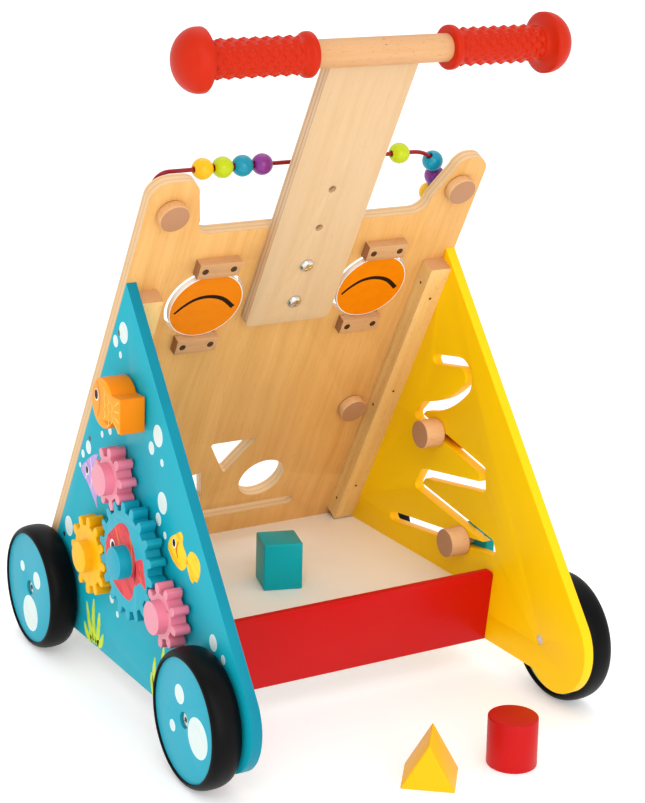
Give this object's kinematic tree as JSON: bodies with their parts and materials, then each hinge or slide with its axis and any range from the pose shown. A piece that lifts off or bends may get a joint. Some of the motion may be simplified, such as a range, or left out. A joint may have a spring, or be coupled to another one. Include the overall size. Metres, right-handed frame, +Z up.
{
  "type": "baby walker",
  "caption": "Wooden baby walker with a push handle, gears and a winding slot in its side panels, a shape-sorter face board, a bead wire and a toy tray.",
  "frame": {"origin": "on the floor, midway between the side panels and midway between the front of the front tyres and the loose blocks behind", "axes": "+Z up, +Y the way the walker is pushed, X across it with the blue panel at -X and the yellow one at +X"},
  "size_m": [0.3304, 0.4088, 0.5123],
  "materials": {
    "board_ply": "matt clear varnish",
    "blue_paint": "satin blue paint on plywood",
    "yellow_paint": "satin yellow paint on plywood",
    "tray_board": "matt cream laminate",
    "red_paint": "satin red paint on plywood",
    "beech": "matt beech",
    "pale_ply": "matt pale plywood",
    "grip_rubber": "soft red rubber",
    "bright_steel": "zinc plated",
    "dark_steel": "blackened screws",
    "wire_paint": "dark red gloss",
    "bead_yellow": "gloss paint",
    "bead_lime": "gloss paint",
    "bead_teal": "gloss paint",
    "bead_purple": "gloss paint",
    "wheel_paint": "satin blue paint",
    "tyre_rubber": "black rubber",
    "gear_blue": "satin paint",
    "gear_yellow": "satin paint",
    "gear_pink": "satin paint",
    "orange_paint": "satin paint",
    "teal_paint": "satin paint",
    "block_yellow": "satin paint",
    "block_red": "satin paint"
  },
  "bodies": {
    "frame": {"face_board": "board_ply", "blue_side_panel": "blue_paint", "yellow_side_panel": "yellow_paint", "tray_shelf": "tray_board", "rear_lip_board": "red_paint", "left_corner_batten": "beech", "right_corner_batten": "beech", "handle_arm": "pale_ply", "handle_dowel": "beech", "left_grip": "grip_rubber", "right_grip": "grip_rubber", "arm_bolts": "bright_steel", "arm_nuts": "bright_steel", "wood_screws": "dark_steel", "bead_wire": "wire_paint", "axle_bolts": "bright_steel", "axle_nuts": "bright_steel", "pivot_pins": "beech", "eye_cleats": "beech"},
    "front_left_wheel": {"front_left_wheel_disc": "wheel_paint", "front_left_tyre": "tyre_rubber"},
    "front_right_wheel": {"front_right_wheel_disc": "wheel_paint", "front_right_tyre": "tyre_rubber"},
    "rear_left_wheel": {"rear_left_wheel_disc": "wheel_paint", "rear_left_tyre": "tyre_rubber"},
    "rear_right_wheel": {"rear_right_wheel_disc": "wheel_paint", "rear_right_tyre": "tyre_rubber"},
    "large_gear": {"large_gear": "gear_blue"},
    "yellow_gear": {"yellow_gear": "gear_yellow"},
    "upper_pink_gear": {"upper_pink_gear": "gear_pink"},
    "lower_pink_gear": {"lower_pink_gear": "gear_pink"},
    "orange_fish": {"orange_fish": "orange_paint"},
    "left_eye": {"left_eye_disc": "orange_paint", "left_eye_pins": "bright_steel"},
    "right_eye": {"right_eye_disc": "orange_paint", "right_eye_pins": "bright_steel"},
    "left_ear": {"left_ear_spinner": "gear_pink", "left_ear_peg": "beech"},
    "left_cheek": {"left_cheek_spinner": "teal_paint", "left_cheek_peg": "beech"},
    "right_ear": {"right_ear_spinner": "gear_pink", "right_ear_peg": "beech"},
    "right_cheek": {"right_cheek_spinner": "teal_paint", "right_cheek_peg": "beech"},
    "upper_slider": {"upper_slider_knob": "beech", "upper_slider_figure": "orange_paint"},
    "lower_slider": {"lower_slider_knob": "beech", "lower_slider_figure": "teal_paint"},
    "yellow_left_bead": {"bead_yellow_left": "bead_yellow"},
    "lime_left_bead": {"bead_lime_left": "bead_lime"},
    "teal_left_bead": {"bead_teal_left": "bead_teal"},
    "purple_left_bead": {"bead_purple_left": "bead_purple"},
    "lime_right_bead": {"bead_lime_right": "bead_lime"},
    "purple_right_bead": {"bead_purple_right": "bead_purple"},
    "teal_right_bead": {"bead_teal_right": "bead_teal"},
    "yellow_right_bead": {"bead_yellow_right": "bead_yellow"},
    "cube": {"block_cube": "teal_paint"},
    "prism": {"block_prism": "block_yellow"},
    "cylinder": {"block_cylinder": "block_red"}
  },
  "joints": [
    {"name": "front_left_wheel_roll", "type": "hinge", "parent": "frame", "child": "front_left_wheel", "pos_m": [0, 0.1561, 0.0484], "axis": [1, 0, 0], "continuous": true},
    {"name": "front_right_wheel_roll", "type": "hinge", "parent": "frame", "child": "front_right_wheel", "pos_m": [0, 0.1561, 0.0484], "axis": [1, 0, 0], "continuous": true},
    {"name": "rear_left_wheel_roll", "type": "hinge", "parent": "frame", "child": "rear_left_wheel", "pos_m": [0, -0.1102, 0.0484], "axis": [1, 0, 0], "continuous": true},
    {"name": "rear_right_wheel_roll", "type": "hinge", "parent": "frame", "child": "rear_right_wheel", "pos_m": [0, -0.1102, 0.0484], "axis": [1, 0, 0], "continuous": true},
    {"name": "large_gear_turn", "type": "hinge", "parent": "frame", "child": "large_gear", "pos_m": [-0.15, 0.0005, 0.1222], "axis": [1, 0, 0], "continuous": true},
    {"name": "yellow_gear_turn", "type": "hinge", "parent": "frame", "child": "yellow_gear", "pos_m": [-0.15, 0.06561, 0.10439], "axis": [1, 0, 0], "continuous": true},
    {"name": "upper_pink_gear_turn", "type": "hinge", "parent": "frame", "child": "upper_pink_gear", "pos_m": [-0.15, 0.02995, 0.17533], "axis": [1, 0, 0], "continuous": true},
    {"name": "lower_pink_gear_turn", "type": "hinge", "parent": "frame", "child": "lower_pink_gear", "pos_m": [-0.15, -0.05662, 0.10152], "axis": [1, 0, 0], "continuous": true},
    {"name": "fish_turn", "type": "hinge", "parent": "frame", "child": "orange_fish", "pos_m": [-0.15, 0.024, 0.2345], "axis": [1, 0, 0], "continuous": true},
    {"name": "left_eye_spin", "type": "hinge", "parent": "frame", "child": "left_eye", "pos_m": [-0.0715, 0.04116, 0.29398], "axis": [0, -0.4802, 0.8771], "continuous": true},
    {"name": "right_eye_spin", "type": "hinge", "parent": "frame", "child": "right_eye", "pos_m": [0.0715, 0.04116, 0.29398], "axis": [0, -0.4802, 0.8771], "continuous": true},
    {"name": "left_ear_spin", "type": "hinge", "parent": "frame", "child": "left_ear", "pos_m": [-0.121, -0.00071, 0.374], "axis": [0, 0.8771, 0.4802], "continuous": true},
    {"name": "left_cheek_spin", "type": "hinge", "parent": "frame", "child": "left_cheek", "pos_m": [-0.098, 0.10772, 0.17594], "axis": [0, 0.8771, 0.4802], "continuous": true},
    {"name": "right_ear_spin", "type": "hinge", "parent": "frame", "child": "right_ear", "pos_m": [0.121, -0.00071, 0.374], "axis": [0, 0.8771, 0.4802], "continuous": true},
    {"name": "right_cheek_spin", "type": "hinge", "parent": "frame", "child": "right_cheek", "pos_m": [0.098, 0.10772, 0.17594], "axis": [0, 0.8771, 0.4802], "continuous": true},
    {"name": "upper_slider_travel", "type": "slide", "parent": "frame", "child": "upper_slider", "axis": [0, -0.9773, -0.2119], "range_m": [-0.0103, 0.0636]},
    {"name": "lower_slider_travel", "type": "slide", "parent": "frame", "child": "lower_slider", "axis": [0, -0.9927, 0.1205], "range_m": [-0.1007, 0.0401]},
    {"name": "yellow_left_bead_slide", "type": "slide", "parent": "frame", "child": "yellow_left_bead", "axis": [1, 0, 0], "range_m": [-0.01, 0.022]},
    {"name": "lime_left_bead_slide", "type": "slide", "parent": "yellow_left_bead", "child": "lime_left_bead", "axis": [1, 0, 0], "range_m": [0, 0.022]},
    {"name": "teal_left_bead_slide", "type": "slide", "parent": "lime_left_bead", "child": "teal_left_bead", "axis": [1, 0, 0], "range_m": [0, 0.022]},
    {"name": "purple_left_bead_slide", "type": "slide", "parent": "teal_left_bead", "child": "purple_left_bead", "axis": [1, 0, 0], "range_m": [0, 0.022]},
    {"name": "lime_right_bead_slide", "type": "slide", "parent": "frame", "child": "lime_right_bead", "axis": [1, 0, 0], "range_m": [-0.012, 0.009]},
    {"name": "purple_right_bead_travel", "type": "hinge", "parent": "frame", "child": "purple_right_bead", "pos_m": [0.0925, 0.03415, 0.37279], "axis": [0, -0.8771, -0.4802], "range_deg": [0, 12]},
    {"name": "teal_right_bead_travel", "type": "hinge", "parent": "purple_right_bead", "child": "teal_right_bead", "pos_m": [0.0925, 0.03415, 0.37279], "axis": [0, -0.8771, -0.4802], "range_deg": [0, 4]},
    {"name": "yellow_right_bead_spin", "type": "hinge", "parent": "frame", "child": "yellow_right_bead", "pos_m": [0.1225, 0.03986, 0.36235], "axis": [0, -0.4802, 0.8771], "continuous": true},
    {"name": "cube_lift", "type": "slide", "parent": "frame", "child": "cube", "axis": [0, 0, 1], "range_m": [0, 0.12]},
    {"name": "prism_lift", "type": "slide", "parent": "frame", "child": "prism", "axis": [0, 0, 1], "range_m": [0, 0.15]},
    {"name": "cylinder_lift", "type": "slide", "parent": "frame", "child": "cylinder", "axis": [0, 0, 1], "range_m": [0, 0.15]}
  ],
  "couplings": [
    {"joint": "large_gear_turn", "follows": "upper_pink_gear_turn", "ratio": -0.5},
    {"joint": "yellow_gear_turn", "follows": "upper_pink_gear_turn", "ratio": 0.75},
    {"joint": "lower_pink_gear_turn", "follows": "upper_pink_gear_turn", "ratio": 1}
  ]
}
